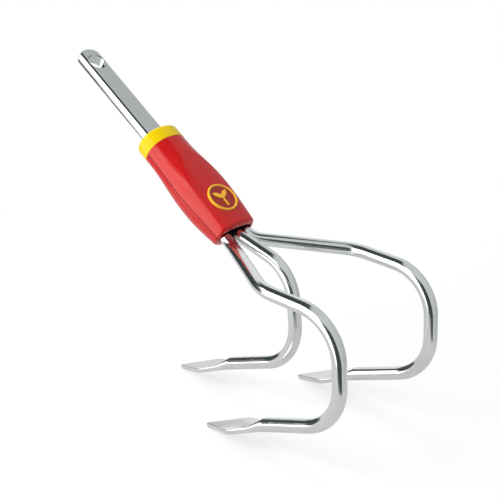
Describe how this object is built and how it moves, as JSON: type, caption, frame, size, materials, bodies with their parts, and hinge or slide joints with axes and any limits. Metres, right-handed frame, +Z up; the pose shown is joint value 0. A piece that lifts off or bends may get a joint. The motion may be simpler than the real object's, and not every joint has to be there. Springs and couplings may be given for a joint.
{
  "type": "hand cultivator head",
  "caption": "Hand cultivator head: bent chrome tines with pointed blades, welded to a flat tang in a red plastic sleeve with a yellow collar.",
  "frame": {"origin": "on the floor under the middle of the object's box, with the three blade points on the floor", "axes": "+X from the tang towards the front of the hooks, +Y to the left of a user behind the handle, +Z up"},
  "size_m": [0.2533, 0.1032, 0.2014],
  "materials": {
    "chrome_steel": "polished chrome plate",
    "weld_steel": "as welded",
    "red_plastic": "satin gloss moulded plastic",
    "yellow_plastic": "satin gloss moulded plastic",
    "badge_red": "satin gloss moulded plastic"
  },
  "bodies": {
    "root": {"tang": "chrome_steel", "centre_tine": "chrome_steel", "left_tine": "chrome_steel", "right_tine": "chrome_steel", "tine_welds": "weld_steel", "upper_shell": "red_plastic", "lower_shell": "red_plastic", "collar_ring": "yellow_plastic", "badge_plate": "badge_red", "badge_ring": "yellow_plastic", "badge_sprout": "yellow_plastic"}
  },
  "joints": []
}
